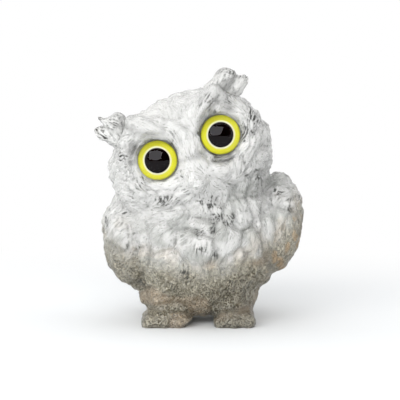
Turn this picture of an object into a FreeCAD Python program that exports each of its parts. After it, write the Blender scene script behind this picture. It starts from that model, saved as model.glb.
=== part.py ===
import FreeCAD, Part
import math
import os
import random

import Sketcher
from FreeCAD import Placement, Rotation, Vector

# Cast resin owl figurine: two pours of resin round quartz stones, and two glued-in eyes.
#
# The owl stands on Z = 0 and looks along -Y.  Left and right are the owl's own, so its left side
# is +X.  Sizes are millimetres and degrees, and live in the "sizes" spreadsheet.

SIZES = [
    # The head, an ellipsoid that rolls towards the owl's right shoulder.
    ("head_half_width", 20.3, "half width along the line of the eyes"),
    ("head_half_depth", 17.0, "half depth, front to back"),
    ("head_half_height", 15.6, "half height across the line of the eyes"),
    ("head_tilt", 22.0, "roll of the head, its left side up"),
    ("head_side", -2.0, "centre, along X"),
    ("head_back", -2.0, "centre, along Y"),
    ("neck_bedding", 16.6, "overlap of the head and the torso, top to bottom"),
    # The torso, which leans a little the same way.
    ("torso_half_width", 19.4, "half width without the wings"),
    ("torso_half_depth", 18.4, "half depth"),
    ("torso_half_height", 18.6, "half height"),
    ("torso_side", 0.7, "centre, along X"),
    ("torso_back", 0.3, "centre, along Y"),
    ("torso_clear", 3.0, "underside above the floor"),
    ("body_lean", 8.0, "roll of the shoulders, the left one up"),
    # Folded wings, bedded in the flanks.
    ("wing_half_thick", 6.7, "half thickness, outwards"),
    ("wing_half_depth", 12.4, "half depth, front to back"),
    ("wing_half_length", 11.9, "half length, shoulder to tip"),
    ("wing_bedding", 2.1, "how far the wing's centre lies inside the flank"),
    ("wing_sweep", 13.5, "angle of the tips towards each other"),
    ("wing_back", 1.6, "centre of the wings behind the torso's centre"),
    # Hips, feathered legs, feet and tail.
    ("hip_half_width", 9.5, "half width of the hips"),
    ("hip_half_depth", 11.4, "half depth of the hips"),
    ("hip_half_height", 6.8, "half height of the hips"),
    ("hip_rise", 9.4, "centre of the hips above the floor"),
    ("leg_spread", 6.9, "centre of each leg from the middle"),
    ("leg_half_width", 6.8, "half width of a leg"),
    ("leg_half_depth", 9.6, "half depth of a leg"),
    ("leg_half_height", 6.4, "half height of a leg"),
    ("leg_rise", 7.2, "centre of a leg above the floor"),
    ("foot_spread", 8.2, "centre of each foot from the middle"),
    ("foot_width", 10.0, "width of the sole"),
    ("foot_length", 15.5, "length of the flanks of the sole"),
    ("foot_front", 9.6, "corners of the sole in front of the middle"),
    ("foot_height", 3.7, "height of the foot"),
    ("foot_taper", 14.0, "slope of the sides of the foot"),
    ("foot_bow", 1.0, "bow of the front edge"),
    ("toe_reach", 2.4, "half length of a toe"),
    ("toe_half_height", 1.9, "half height of a toe"),
    ("toe_rise", 1.5, "centre of a toe above the floor"),
    ("arch_radius", 3.3, "radius of the arch between the feet"),
    ("arch_height", 2.9, "top of the arch above the floor"),
    ("tail_half_width", 7.6, "half width of the tail"),
    ("tail_half_depth", 5.4, "half depth of the tail"),
    ("tail_half_length", 9.6, "half length of the tail"),
    ("tail_slope", 32.0, "slope of the tail, its tip to the back"),
    ("tail_bedding", 4.9, "how far the tail's centre lies inside the back"),
    ("tail_rise", 10.4, "centre, above the floor"),
    # Ear tufts, two feathers each, in the head's own frame.
    ("tuft_out", 9.4, "root of the tuft from the head's middle"),
    ("tuft_forward", 7.0, "root of the tuft in front of the head's middle"),
    ("tuft_bedding", 2.6, "depth of the root below the head's skin"),
    ("tuft_length", 9.4, "length of a feather from its root"),
    ("tuft_rise", 46.0, "angle of the upper feather above the line of the eyes"),
    ("tuft_fan", 24.0, "angle from the upper feather down to the lower one"),
    ("tuft_half_width", 1.8, "half width of a feather"),
    ("tuft_half_thick", 1.8, "half thickness of a feather"),
    ("tuft_overrun", 1.0, "how far a feather runs past its root and its tip"),
    # Beak.
    ("beak_half_width", 1.5, "half width"),
    ("beak_half_length", 3.3, "half length"),
    ("beak_half_depth", 2.4, "half depth"),
    ("beak_drop", 3.8, "centre below the head's centre"),
    ("beak_side", -0.4, "centre beside the head's centre, towards the left eye"),
    ("beak_hook", 14.0, "slope of the beak, its tip to the front"),
    # Eyes: flat-backed domes on a painted face, glued into round sockets.
    ("eye_spacing", 15.8, "between the centres of the eyes"),
    ("eye_up", 3.9, "centre above the head's centre"),
    ("eye_side", 1.0, "middle of the pair beside the head's centre, towards the left"),
    ("eye_turn", 6.0, "how far each eye turns outwards"),
    ("eye_radius", 4.5, "radius of the eye"),
    ("socket_clearance", 0.7, "gap round the eye, in the socket"),
    ("socket_depth", 2.0, "seat below the face"),
    ("disc_radius", 9.8, "radius of the feathered disc round the eye"),
    ("disc_half_thick", 3.4, "half thickness of that disc"),
    ("disc_proud", 0.7, "front of the disc before the face"),
    ("glue_thick", 0.35, "thickness of the glue under the eye"),
    ("glue_inset", 0.3, "rim of the eye past the glue"),
    ("drip_radius", 0.35, "radius of the run of glue below the eye"),
    ("backing_thick", 0.7, "thickness of the backing disc"),
    ("paint_thick", 0.2, "thickness of the painted layer"),
    ("pupil_radius", 2.55, "radius of the painted pupil"),
    ("halo_radius", 3.0, "outer radius of the pale ring round the pupil"),
    ("dome_rim", 0.5, "height of the dome's straight rim"),
    ("dome_height", 2.9, "height of the dome with its rim"),
    # The boundary of the two pours, the underside of a wide bowl.
    ("pour_half_width", 31.0, "half width of the bowl"),
    ("pour_half_depth", 45.0, "half depth of the bowl"),
    ("pour_half_height", 32.0, "half height of the bowl"),
    ("pour_side", -2.0, "centre, along X"),
    ("pour_low", 12.5, "lowest point of the bowl above the floor"),
    # Stones.
    ("skin", 0.9, "least resin over a stone"),
    ("stone_gap", 0.25, "least resin between two stones"),
    ("pour_gap", 0.3, "least resin between a stone and the other pour"),
    ("pebble_size", 3.0, "radius of a large white pebble"),
    ("wing_pebble_size", 2.2, "radius of a pebble in a wing"),
    ("core_pebble_size", 4.0, "radius of a pebble in the middle"),
    ("gravel_size", 1.4, "radius of a piece of smoky gravel"),
]

SIDES = {"left": 1, "right": -1}
GOLDEN_ANGLE = math.pi * (3 - math.sqrt(5))
# How many places are tried for stones round each form.
SPOTS = {"head": 60, "torso": 90, "core": 14, "wing": 60, "belly": 150, "hip": 60, "tail": 40}
# A stone's three outlines: height and width as shares of its radius.
BOTTOM, TOP, BELT_WIDTH = (-0.66, 0.55), (0.62, 0.5), 0.96

doc = FreeCAD.newDocument("owl")
sheet = doc.addObject("Spreadsheet::Sheet", "sizes")
subparts = []


def fill_sheet():
    for row, (alias, value, note) in enumerate(SIZES, start=1):
        sheet.set(f"A{row}", alias)
        sheet.set(f"B{row}", str(value))
        sheet.set(f"C{row}", note)
        sheet.setAlias(f"B{row}", alias)
    doc.recompute()


def size(alias):
    """The value of a cell, for shapes that are worked out in code."""
    return float(sheet.get(alias))


def bind(thing, **expressions):
    """Binds each property of an object to an expression on the sheet's cells."""
    for name, expression in expressions.items():
        thing.setExpression(name, expression)


def label(thing, node):
    """Marks a finished sub-part, which goes to a file of its own."""
    thing.Label = node
    subparts.append(thing)
    return thing


# ---- the outer form: ellipsoids, given by their half sizes and where they stand ----


def ellipsoid(name, half_x, half_y, half_z, placement):
    form = doc.addObject("Part::Ellipsoid", name)
    form.Angle1 = -90
    form.Angle2 = 90
    form.Angle3 = 360
    bind(form, Radius2=half_x, Radius3=half_y, Radius1=half_z)
    form.Placement = placement
    return form


def body_frame():
    """The middle of the torso, leaning with the shoulders."""
    middle = Vector(size("torso_side"), size("torso_back"),
                    size("torso_clear") + size("torso_half_height"))
    return Placement(middle, Rotation(Vector(0, 1, 0), -size("body_lean")))


def head_frame():
    """The middle of the head, rolled: X along the line of the eyes."""
    rise = body_frame().Base.z + size("torso_half_height") + size("head_half_height")
    middle = Vector(size("head_side"), size("head_back"), rise - size("neck_bedding"))
    return Placement(middle, Rotation(Vector(0, 1, 0), -size("head_tilt")))


def floor_frame(x, y, z, slope=0.0):
    return Placement(Vector(x, y, z), Rotation(Vector(1, 0, 0), slope))


def make_head():
    return ellipsoid("head", "sizes.head_half_width", "sizes.head_half_depth",
                     "sizes.head_half_height", head_frame())


def make_torso():
    return ellipsoid("torso", "sizes.torso_half_width", "sizes.torso_half_depth",
                     "sizes.torso_half_height", body_frame())


def make_wing(side):
    sign = SIDES[side]
    out = size("torso_half_width") - size("wing_bedding")
    hung = Placement(Vector(sign * out, size("wing_back"), 0),
                     Rotation(Vector(0, 1, 0), sign * size("wing_sweep")))
    return ellipsoid(side + "_wing", "sizes.wing_half_thick", "sizes.wing_half_depth",
                     "sizes.wing_half_length", body_frame() * hung)


def make_hips():
    return ellipsoid("hips", "sizes.hip_half_width", "sizes.hip_half_depth",
                     "sizes.hip_half_height", floor_frame(0, 0, size("hip_rise")))


def make_leg(side):
    spot = floor_frame(SIDES[side] * size("leg_spread"), 0, size("leg_rise"))
    return ellipsoid(side + "_leg", "sizes.leg_half_width", "sizes.leg_half_depth",
                     "sizes.leg_half_height", spot)


def make_tail():
    back = size("torso_back") + size("torso_half_depth") - size("tail_bedding")
    spot = floor_frame(size("torso_side"), back, size("tail_rise"), size("tail_slope"))
    return ellipsoid("tail", "sizes.tail_half_width", "sizes.tail_half_depth",
                     "sizes.tail_half_length", spot)


def on_face(across, up):
    """The spot on the front of the head at a place given in the head's own frame."""
    left = 1 - (across / size("head_half_width"))**2 - (up / size("head_half_height"))**2
    return Vector(across, -size("head_half_depth") * math.sqrt(left), up)


def make_tuft_feather(side, which):
    """One feather of an ear tuft: 0 is the upper one, 1 the lower one, fanned round the root."""
    sign = SIDES[side]
    out, forward = size("tuft_out"), size("tuft_forward")
    across, along = out / size("head_half_width"), forward / size("head_half_depth")
    skin = size("head_half_height") * math.sqrt(1 - across**2 - along**2)
    root = Vector(sign * out, -forward, skin - size("tuft_bedding"))
    angle = math.radians(size("tuft_rise") - which * size("tuft_fan"))
    axis = Vector(sign * math.cos(angle), 0, math.sin(angle))
    hung = Placement(root + axis * (size("tuft_length") / 2), Rotation(Vector(0, 0, 1), axis))
    return ellipsoid(f"{side}_tuft_{which + 1}", "sizes.tuft_half_width",
                     "sizes.tuft_half_thick", "sizes.tuft_length / 2 + sizes.tuft_overrun",
                     head_frame() * hung)


def make_beak():
    spot = on_face(size("beak_side"), -size("beak_drop"))
    hung = Placement(spot, Rotation(Vector(1, 0, 0), -size("beak_hook")))
    return ellipsoid("beak", "sizes.beak_half_width", "sizes.beak_half_depth",
                     "sizes.beak_half_length", head_frame() * hung)


def eye_frame(side):
    """The seat of an eye: origin in the middle of the socket's floor, +Z out of the face."""
    sign = SIDES[side]
    outwards = Rotation(Vector(0, 0, 1), sign * size("eye_turn"))
    axis = outwards.multVec(Vector(0, -1, 0))
    spot = on_face(size("eye_side") + sign * size("eye_spacing") / 2, size("eye_up"))
    upright = Rotation(outwards.multVec(Vector(1, 0, 0)), Vector(0, 0, 1), axis, "ZXY")
    return head_frame() * Placement(spot - axis * size("socket_depth"), upright)


def make_disc(side):
    """The disc of feathers round an eye, which stands a little proud of the face."""
    front = size("socket_depth") + size("disc_proud")
    sunk = Placement(Vector(0, 0, front - size("disc_half_thick")), Rotation())
    return ellipsoid(side + "_disc", "sizes.disc_radius", "sizes.disc_radius",
                     "sizes.disc_half_thick", eye_frame(side) * sunk)


def make_socket(side):
    socket = doc.addObject("Part::Cylinder", side + "_socket")
    bind(socket, Radius="sizes.eye_radius + sizes.socket_clearance",
         Height="sizes.disc_radius")
    socket.Placement = eye_frame(side)
    return socket


# ---- feet: a flared pad with three round toes ----


def new_sketch(body, role):
    """A sketch on one of the body's own origin planes."""
    plane = next(f for f in body.Origin.OriginFeatures if f.Role == role)
    sketch = body.newObject("Sketcher::SketchObject", body.Name + "_sketch")
    sketch.AttachmentSupport = (plane, [""])
    sketch.MapMode = "FlatFace"
    return sketch


def pin_point(sketch, edge, end, x, y):
    """Holds one end of an edge at (x, y), each an expression on the sheet, or None for zero."""
    for kind, axis, expression in (("DistanceX", -2, x), ("DistanceY", -1, y)):
        if expression is None:
            sketch.addConstraint(Sketcher.Constraint("PointOnObject", edge, end, axis))
            continue
        here = sketch.getPoint(edge, end)
        now = here.x if kind == "DistanceX" else here.y
        held = sketch.addConstraint(Sketcher.Constraint(kind, -1, 1, edge, end, now))
        sketch.setExpression(f"Constraints[{held}]", expression)


def make_sole(side):
    """The pad of a foot on Z = 0: straight flanks, a square heel and a bowed front edge."""
    half = size("foot_width") / 2
    front, heel = -size("foot_front"), size("foot_length") - size("foot_front")
    sole = doc.addObject("PartDesign::Body", side + "_sole")
    sketch = new_sketch(sole, "XY_Plane")
    corners = [Vector(-half, front, 0), Vector(-half, heel, 0),
               Vector(half, heel, 0), Vector(half, front, 0)]
    for start, end in zip(corners, corners[1:]):
        sketch.addGeometry(Part.LineSegment(start, end))
    bow = Vector(0, front - size("foot_bow"), 0)
    front_edge = sketch.addGeometry(Part.Arc(corners[0], bow, corners[3]))
    x, y = "sizes.foot_width / 2", "sizes.foot_length - sizes.foot_front"
    pin_point(sketch, 0, 1, "-" + x, "-sizes.foot_front")
    pin_point(sketch, 1, 1, "-" + x, y)
    pin_point(sketch, 2, 1, x, y)
    pin_point(sketch, 2, 2, x, "-sizes.foot_front")
    sketch.addConstraint(Sketcher.Constraint("Coincident", 0, 2, 1, 1))
    sketch.addConstraint(Sketcher.Constraint("Coincident", 1, 2, 2, 1))
    sketch.addConstraint(Sketcher.Constraint("Coincident", 0, 1, front_edge, 1))
    sketch.addConstraint(Sketcher.Constraint("Coincident", 2, 2, front_edge, 2))
    bowed = sketch.addConstraint(Sketcher.Constraint("Radius", front_edge, half))
    sketch.setExpression(f"Constraints[{bowed}]",
                         "(sizes.foot_width^2 / 4 + sizes.foot_bow^2) / (2 * sizes.foot_bow)")
    pad = sole.newObject("PartDesign::Pad", side + "_sole_pad")
    pad.Profile = sketch
    bind(pad, Length="sizes.foot_height", TaperAngle="-sizes.foot_taper")
    sole.Placement = foot_frame(side)
    return sole


def foot_frame(side):
    return Placement(Vector(SIDES[side] * size("foot_spread"), 0, 0), Rotation())


def make_toes(side):
    """Three toes side by side, whose undersides are cut off flat at the floor."""
    pitch = size("foot_width") / 3
    front = size("foot_front") + size("foot_bow") / 2
    toes = []
    for k in (-1, 0, 1):
        spot = Vector(k * pitch, -front + abs(k) * size("foot_bow") / 2, size("toe_rise"))
        toe = ellipsoid(f"{side}_toe_{k + 2}", "sizes.foot_width / 6", "sizes.toe_reach",
                        "sizes.toe_half_height", foot_frame(side) * Placement(spot, Rotation()))
        toes.append(toe)
    return toes


def make_arch():
    """The tunnel between the feet, along Y."""
    arch = doc.addObject("Part::Cylinder", "arch")
    bind(arch, Radius="sizes.arch_radius", Height="4 * sizes.hip_half_depth")
    arch.Placement = Placement(
        Vector(0, 2 * size("hip_half_depth"), size("arch_height") - size("arch_radius")),
        Rotation(Vector(1, 0, 0), 90))
    return arch


def fuse(name, forms):
    whole = doc.addObject("Part::MultiFuse", name)
    whole.Shapes = forms
    return whole


def boolean(kind, name, base, tool):
    result = doc.addObject("Part::" + kind, name)
    result.Base = base
    result.Tool = tool
    result.Refine = False
    return result


# ---- stones ----


def half_sizes(form):
    return Vector(form.Radius2.Value, form.Radius3.Value, form.Radius1.Value)


def signed_gap(point, form):
    """About how far a point lies outside an ellipsoid, negative inside."""
    p = form.Placement.inverse().multVec(point)
    h = half_sizes(form)
    reach = Vector(p.x / h.x, p.y / h.y, p.z / h.z)
    slope = Vector(p.x / h.x**2, p.y / h.y**2, p.z / h.z**2)
    if slope.Length < 1e-9:
        return -min(h.x, h.y, h.z)
    return reach.Length * (reach.Length - 1) / slope.Length


def off_socket(point, side):
    """How far a point lies from the round hole of a socket."""
    p = eye_frame(side).inverse().multVec(point)
    beside = math.hypot(p.x, p.y) - size("eye_radius") - size("socket_clearance")
    return math.hypot(max(beside, 0), max(-p.z, 0)) if p.z < 0 else max(beside, 0)


def round_the(form, count, depth):
    """Points spread evenly over a form, a given depth below its skin."""
    h = half_sizes(form)
    for k in range(count):
        z = 1 - (2 * k + 1) / count
        ring = math.sqrt(1 - z * z)
        turn = k * GOLDEN_ANGLE
        inside = Vector(ring * math.cos(turn) * max(h.x - depth, 0),
                        ring * math.sin(turn) * max(h.y - depth, 0),
                        z * max(h.z - depth, 0))
        yield form.Placement.multVec(inside)


def stone(radius, middle, chance):
    """A worn chip: two stacked frustums of an uneven polygon, none of it past the radius."""
    sides = chance.choice((5, 6, 7))
    narrow = chance.uniform(0.72, 0.95)
    belt = chance.uniform(-0.15, 0.15)

    def ring(height, share):
        return [Vector(share * radius * math.cos(math.tau * k / sides),
                       share * radius * narrow * math.sin(math.tau * k / sides),
                       height * radius) for k in range(sides)]

    rings = [ring(*BOTTOM), ring(belt, BELT_WIDTH), ring(*TOP)]
    loops = [rings[0][::-1], rings[-1]]
    for low, high in zip(rings, rings[1:]):
        for k in range(sides):
            following = (k + 1) % sides
            loops.append([low[k], low[following], high[following], high[k]])
    faces = [Part.Face(Part.makePolygon(loop + loop[:1])) for loop in loops]
    chip = Part.Solid(Part.Shell(faces))
    chip.Placement = Placement(middle, Rotation(*[chance.uniform(0, 360) for _ in range(3)]))
    return chip


class StoneBed:
    """Places stones in the resin, each clear of the others, the eyes and the pour line."""

    def __init__(self, pour):
        self.pour = pour
        self.placed = []

    def clear(self, point, radius, above):
        """Whether a stone fits here, on its own side of the pour line."""
        room = radius + size("skin")
        over = signed_gap(point, self.pour)
        if (over if above else -over) > -(radius + size("pour_gap")):
            return False
        if any(off_socket(point, side) < room for side in SIDES):
            return False
        if abs(point.x) < size("arch_radius") + room and point.z < size("arch_height") + room:
            return False
        return all(point.distanceToPoint(other) > radius + taken + size("stone_gap")
                   for other, taken in self.placed)

    def lay(self, node, candidates, radius, above):
        """One group of stones at those of the candidate points where they fit."""
        chance = random.Random(node)
        stones = []
        for point in candidates:
            if self.clear(point, radius, above):
                self.placed.append((point, radius))
                stones.append(stone(radius, point, chance))
        return bag(node, stones)


def bag(node, stones):
    group = doc.addObject("Part::Feature", node)
    group.Shape = Part.makeCompound(stones)
    return label(group, node)


def lay_stones(bed, head, torso, wings, hips, tail):
    """All the stones, the large ones first, as they are pressed into the mould."""
    large, small = size("pebble_size"), size("gravel_size")
    deep = 2 * large + size("stone_gap")
    round_torso = round_the(torso, SPOTS["torso"], large + size("skin"))
    breast, behind = [], []
    for point in round_torso:
        (breast if point.y < size("torso_back") else behind).append(point)
    core = [point for form in (head, torso)
            for point in round_the(form, SPOTS["core"], deep + size("core_pebble_size"))]
    around_head = round_the(head, SPOTS["head"], large + size("skin"))
    upper = [bed.lay("head_pebbles", around_head, large, True),
             bed.lay("breast_pebbles", breast, large, True),
             bed.lay("back_pebbles", behind, large, True),
             bed.lay("core_pebbles", core, size("core_pebble_size"), True)]
    lower = []
    for node, form in (("belly", torso), ("hip", hips), ("tail", tail)):
        spots = round_the(form, SPOTS[node], small + size("skin"))
        lower.append(bed.lay(node + "_gravel", spots, small, False))
    for side in SIDES:
        for node, alias, group in (("pebbles", "wing_pebble_size", upper),
                                   ("gravel", "gravel_size", lower)):
            spots = round_the(wings[side], SPOTS["wing"], size(alias) + size("skin"))
            group.append(bed.lay(f"{side}_wing_{node}", spots, size(alias), group is upper))
        lower.append(lay_foot_gravel(side, small))
    return upper, lower


def lay_foot_gravel(side, radius):
    """Chips in a file along each foot, half way up it."""
    chance = random.Random(side)
    step = 2 * radius + size("stone_gap")
    first = -size("foot_front") + radius + size("skin")
    last = size("foot_length") - size("foot_front") - radius - size("skin")
    stones = []
    for k in range(int((last - first) // step) + 1):
        spot = Vector(0, first + k * step, size("foot_height") / 2)
        stones.append(stone(radius, foot_frame(side).multVec(spot), chance))
    return bag(side + "_foot_gravel", stones)


# ---- eyes: turned parts, all on one seat ----


def turned(side, piece, outline, arc=None):
    """A body turned round the eye's axis from an outline of (radius, height) expressions.

    Where arc names an edge, that edge is round, with its centre on the axis.
    """
    body = doc.addObject("PartDesign::Body", f"{side}_eye_{piece}")
    sketch = new_sketch(body, "XZ_Plane")
    places = [Vector(number(r), number(h), 0) for r, h in outline]
    count = len(outline)
    for k in range(count):
        start, end = places[k], places[(k + 1) % count]
        if k == arc:
            sketch.addGeometry(dome_arc(start, end))
        else:
            sketch.addGeometry(Part.LineSegment(start, end))
    for k, (r, h) in enumerate(outline):
        pin_point(sketch, k, 1, r, h)
        following = (k + 1) % count
        sketch.addConstraint(Sketcher.Constraint("Coincident", k, 2, following, 1))
    if arc is not None:
        sketch.addConstraint(Sketcher.Constraint("PointOnObject", arc, 3, -2))
    spin = body.newObject("PartDesign::Revolution", f"{side}_eye_{piece}_spin")
    spin.Profile = sketch
    spin.ReferenceAxis = (sketch, ["V_Axis"])
    spin.Angle = 360
    bind(body, Placement=f"{side}_socket.Placement")
    return label(body, f"{side}_eye_{piece}")


def number(expression):
    """The value now of an expression that adds and subtracts cells."""
    if expression is None:
        return 0.0
    total, sign = 0.0, 1
    for word in expression.replace("sizes.", "").split():
        if word in "+-":
            sign = 1 if word == "+" else -1
        else:
            total += sign * size(word)
    return total


def dome_arc(rim, top):
    """The arc from the rim to the top of the dome, whose centre is on the axis."""
    rise = top.y - rim.y
    radius = (rim.x**2 + rise**2) / (2 * rise)
    middle = Vector(0, top.y - radius, 0)
    circle = Part.Circle(middle, Vector(0, 0, 1), radius)
    start = math.atan2(rim.y - middle.y, rim.x)
    return Part.ArcOfCircle(circle, start, math.pi / 2)


def disc_outline(inner, outer, low, high):
    """A flat disc or ring between two radii and two heights."""
    return [(inner, low), (outer, low), (outer, high), (inner, high)]


def make_eye(side):
    glue_top = "sizes.glue_thick"
    plate_top = glue_top + " + sizes.backing_thick"
    paint_top = plate_top + " + sizes.paint_thick"
    rim_top = paint_top + " + sizes.dome_rim"
    dome_top = paint_top + " + sizes.dome_height"
    edge = "sizes.eye_radius"
    pupil, halo = "sizes.pupil_radius", "sizes.halo_radius"
    turned(side, "backing", disc_outline(None, edge, glue_top, plate_top))
    turned(side, "pupil", disc_outline(None, pupil, plate_top, paint_top))
    turned(side, "halo", disc_outline(pupil, halo, plate_top, paint_top))
    turned(side, "iris", disc_outline(halo, edge, plate_top, paint_top))
    turned(side, "dome", [(None, paint_top), (edge, paint_top), (edge, rim_top),
                          (None, dome_top)], arc=2)
    make_glue(side)


def make_glue(side):
    """A pressed bead under the eye, and the run of glue that bridges the gap below it."""
    bead = doc.addObject("Part::Cylinder", side + "_bead")
    bind(bead, Radius="sizes.eye_radius - sizes.glue_inset", Height="sizes.glue_thick",
         Placement=f"{side}_socket.Placement")
    run = doc.addObject("Part::Cylinder", side + "_run")
    bind(run, Radius="sizes.drip_radius",
         Height="sizes.glue_thick + sizes.backing_thick")
    beside = Placement(Vector(0, -size("eye_radius") - size("drip_radius"), 0), Rotation())
    run.Placement = eye_frame(side) * beside
    foot = doc.addObject("Part::Box", side + "_run_foot")
    bind(foot, Length="2 * sizes.drip_radius", Height="sizes.glue_thick",
         Width="sizes.glue_inset + 2 * sizes.drip_radius")
    corner = Vector(-size("drip_radius"), -size("eye_radius") - size("drip_radius"), 0)
    foot.Placement = eye_frame(side) * Placement(corner, Rotation())
    glue = fuse(side + "_glue", [bead, run, foot])
    label(glue, side + "_eye_glue")


# ---- the whole owl ----


def make_floor():
    """A slab under Z = 0, which cuts the undersides of the feet flat."""
    slab = doc.addObject("Part::Box", "floor")
    bind(slab, Length="4 * sizes.torso_half_width", Width="4 * sizes.torso_half_depth",
         Height="sizes.foot_height")
    corner = Vector(-2 * size("torso_half_width"), -2 * size("torso_half_depth"),
                    -size("foot_height"))
    slab.Placement = Placement(corner, Rotation())
    return slab


def make_owl():
    head, torso, hips, tail = make_head(), make_torso(), make_hips(), make_tail()
    wings = {side: make_wing(side) for side in SIDES}
    details = [make_beak()]
    for side in SIDES:
        details += [make_tuft_feather(side, which) for which in range(2)]
        details += [make_disc(side), make_leg(side), make_sole(side), *make_toes(side)]
    outside = fuse("outside", [head, torso, *wings.values(), hips, tail, *details])
    form = outside
    for tool in (make_floor(), make_arch(), make_socket("left"), make_socket("right")):
        form = boolean("Cut", tool.Name + "_cut", form, tool)
    pour = ellipsoid("pour", "sizes.pour_half_width", "sizes.pour_half_depth",
                     "sizes.pour_half_height",
                     floor_frame(size("pour_side"), 0, size("pour_low") + size("pour_half_height")))
    doc.recompute()
    bed = StoneBed(pour)
    upper, lower = lay_stones(bed, head, torso, wings, hips, tail)
    for node, kind, stones in (("upper_casting", "Common", upper), ("lower_casting", "Cut", lower)):
        poured = boolean(kind, node + "_form", form, pour)
        loose = doc.addObject("Part::Compound", node + "_stones")
        loose.Links = stones
        label(boolean("Cut", node + "_body", poured, loose), node)
    for side in SIDES:
        make_eye(side)


def check_model():
    """Stops before anything is written if an object failed, or a sub-part isn't sound."""
    for thing in doc.Objects:
        if "Invalid" in thing.State or "Error" in thing.State:
            raise RuntimeError(f"{thing.Name} failed: {thing.State}")
    for part in subparts:
        if part.Shape.isNull() or not part.Shape.isValid():
            raise RuntimeError(f"{part.Label} has no sound shape")


fill_sheet()
make_owl()
doc.recompute()
check_model()
os.makedirs("parts", exist_ok=True)
for part in subparts:
    part.Shape.exportStep(f"parts/{part.Label}.step")
    print(f"{part.Label}: {len(part.Shape.Solids)} solids, {part.Shape.Volume:.1f} mm3")
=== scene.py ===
import math
from types import SimpleNamespace

import bpy
import numpy as np
from mathutils import Matrix, Vector
from mathutils.bvhtree import BVHTree
from mathutils.kdtree import KDTree


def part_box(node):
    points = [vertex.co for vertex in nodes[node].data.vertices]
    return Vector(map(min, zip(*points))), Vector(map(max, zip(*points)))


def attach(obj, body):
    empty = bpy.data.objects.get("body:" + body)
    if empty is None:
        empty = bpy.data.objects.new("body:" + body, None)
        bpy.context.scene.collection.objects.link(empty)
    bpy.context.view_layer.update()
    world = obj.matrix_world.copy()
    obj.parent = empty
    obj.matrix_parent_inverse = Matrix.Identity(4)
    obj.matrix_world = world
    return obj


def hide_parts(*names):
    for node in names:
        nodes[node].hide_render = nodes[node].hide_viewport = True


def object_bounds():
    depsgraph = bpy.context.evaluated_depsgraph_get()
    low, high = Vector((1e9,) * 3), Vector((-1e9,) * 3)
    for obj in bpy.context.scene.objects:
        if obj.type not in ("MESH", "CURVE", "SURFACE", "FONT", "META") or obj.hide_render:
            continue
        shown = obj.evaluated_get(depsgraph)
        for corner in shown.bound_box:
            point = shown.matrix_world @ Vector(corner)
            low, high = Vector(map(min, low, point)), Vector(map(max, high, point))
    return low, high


# A resin owl: one glassy skin over packed quartz, two domed eyes and a pale studio.
# Settings are in millimetres, apart from the studio's, which are in metres.

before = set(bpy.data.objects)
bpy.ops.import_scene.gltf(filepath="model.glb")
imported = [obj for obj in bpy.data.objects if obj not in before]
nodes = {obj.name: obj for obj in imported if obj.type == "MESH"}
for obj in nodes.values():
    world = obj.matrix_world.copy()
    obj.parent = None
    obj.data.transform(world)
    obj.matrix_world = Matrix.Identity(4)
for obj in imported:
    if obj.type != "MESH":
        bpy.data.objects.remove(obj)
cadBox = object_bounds()
mm = 0.001
sides = {"left": 1, "right": -1}  # the owl's own sides, and their signs along X
random = np.random.default_rng(20)
noiseTable = np.random.default_rng(5).random(4096)


# Hands-on helpers

def selectOnly(*pieces):
    bpy.ops.object.select_all(action="DESELECT")
    for piece in pieces:
        piece.select_set(True)
    bpy.context.view_layer.objects.active = pieces[0]


def applyModifier(piece, kind, **settings):
    selectOnly(piece)
    modifier = piece.modifiers.new(kind.title(), kind)
    for key, value in settings.items():
        setattr(modifier, key, value)
    bpy.ops.object.modifier_apply(modifier=modifier.name)


def copyOfNode(name):  # a merged copy to work on
    copy = nodes[name].copy()
    copy.data = nodes[name].data.copy()
    copy.parent = None
    for key in list(copy.keys()):
        del copy[key]
    bpy.context.collection.objects.link(copy)
    selectOnly(copy)
    bpy.ops.object.mode_set(mode="EDIT")
    bpy.ops.mesh.select_all(action="SELECT")
    bpy.ops.mesh.remove_doubles(threshold=0.000001)
    bpy.ops.object.mode_set(mode="OBJECT")
    return copy


def placed(piece):  # its place goes into its mesh
    selectOnly(piece)
    bpy.ops.object.transform_apply(location=True, rotation=True, scale=True)
    return piece


def smoothed(piece):
    selectOnly(piece)
    bpy.ops.object.shade_smooth()
    return piece


def cornersOf(piece):  # millimetres
    flat = np.empty(len(piece.data.vertices) * 3)
    piece.data.vertices.foreach_get("co", flat)
    return flat.reshape(-1, 3) / mm


def moveCorners(piece, corners):
    piece.data.vertices.foreach_set("co", (corners * mm).ravel())
    piece.data.update()


def normalsOf(piece):
    flat = np.empty(len(piece.data.vertices) * 3)
    piece.data.vertices.foreach_get("normal", flat)
    return flat.reshape(-1, 3)


def addWeights(piece, name, weights):  # as a vertex group
    group = piece.vertex_groups.new(name=name)
    for corner in np.flatnonzero(weights > 0.05):
        group.add([int(corner)], float(weights[corner]), "REPLACE")


def addAttribute(piece, name, values, kind="FLOAT", field="value"):
    layer = piece.data.attributes.new(name, kind, "POINT")
    layer.data.foreach_set(field, np.asarray(values, dtype=np.float32).ravel())


def treeOf(piece):
    return BVHTree.FromObject(piece, bpy.context.evaluated_depsgraph_get())


def added(name, data):
    piece = bpy.data.objects.new(name, data)
    bpy.context.collection.objects.link(piece)
    return piece


def meshPiece(name, corners, faces):
    mesh = bpy.data.meshes.new(name)
    mesh.from_pydata((corners * mm).tolist(), [], faces.tolist())
    return added(name, mesh)


def lengths(vectors):
    return np.linalg.norm(vectors, axis=1)


def unit(vectors):
    return vectors / np.maximum(np.linalg.norm(vectors, axis=-1, keepdims=True), 1e-9)


def rise(low, high, value):  # smoothly from 0 at low to 1 at high
    t = np.clip((value - low) / (high - low), 0, 1)
    return t * t * (3 - 2 * t)


def hump(distance, width):  # 1 in the middle, falling off round it
    return np.exp(-(distance / width) ** 2)


def within(share, limits, values):  # smaller where a value leaves its limits
    for pair, value in zip(limits, values):
        share = share * rise(*pair, value)
    return share


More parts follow.
